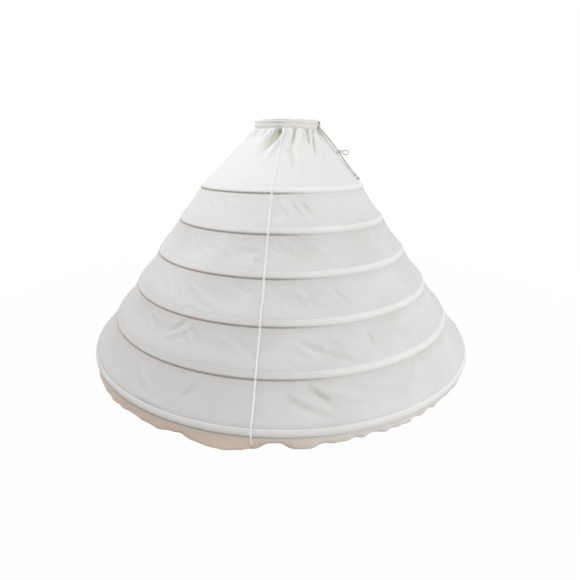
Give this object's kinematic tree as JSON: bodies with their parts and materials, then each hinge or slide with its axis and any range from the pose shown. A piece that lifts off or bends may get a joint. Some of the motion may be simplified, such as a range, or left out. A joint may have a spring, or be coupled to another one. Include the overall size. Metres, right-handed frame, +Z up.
{
  "type": "crinoline cage petticoat",
  "caption": "Floor-length cloth-covered crinoline: spring hoops in sewn channels widen downwards from a gathered drawstring waist to a frilled hem.",
  "frame": {"origin": "on the floor, on the axis of the hoops, level with the hem", "axes": "+Z up along the hoops' axis, -Y towards the front, where one seam runs a little left of the middle, +X towards the side with the drawstring's tails"},
  "size_m": [1.2086, 1.2086, 0.713],
  "materials": {
    "skirt_cloth": "plain-woven white polyester, slightly sheer",
    "seam_tape": "white woven tape, topstitched",
    "casing_tape": "white twill tape",
    "waistband_cloth": "ruched white cloth",
    "elastic": "woven elastic",
    "drawstring_cord": "braided soft cord",
    "coated_steel": "white plastic-coated spring steel",
    "joiner_metal": "crimped steel"
  },
  "bodies": {
    "root": {"gore_front_right": "skirt_cloth", "gore_back_right": "skirt_cloth", "gore_back_left": "skirt_cloth", "gore_front_left": "skirt_cloth", "seam_tape_front": "seam_tape", "seam_tape_right": "seam_tape", "seam_tape_back": "seam_tape", "seam_tape_left": "seam_tape", "hoop_1": "coated_steel", "hoop_2": "coated_steel", "hoop_3": "coated_steel", "hoop_4": "coated_steel", "hoop_5": "coated_steel", "hoop_6": "coated_steel", "hoop_joiner_1": "joiner_metal", "hoop_joiner_2": "joiner_metal", "hoop_joiner_3": "joiner_metal", "hoop_joiner_4": "joiner_metal", "hoop_joiner_5": "joiner_metal", "hoop_joiner_6": "joiner_metal", "hoop_casing_1": "casing_tape", "hoop_casing_2": "casing_tape", "hoop_casing_3": "casing_tape", "hoop_casing_4": "casing_tape", "hoop_casing_5": "casing_tape", "hoop_casing_6": "casing_tape", "waistband": "waistband_cloth", "waist_elastic": "elastic", "drawstring": "drawstring_cord", "drawstring_tail_front": "drawstring_cord", "drawstring_tail_back": "drawstring_cord", "drawstring_bow": "drawstring_cord", "drawstring_knot_front": "drawstring_cord", "drawstring_knot_back": "drawstring_cord"}
  },
  "joints": []
}
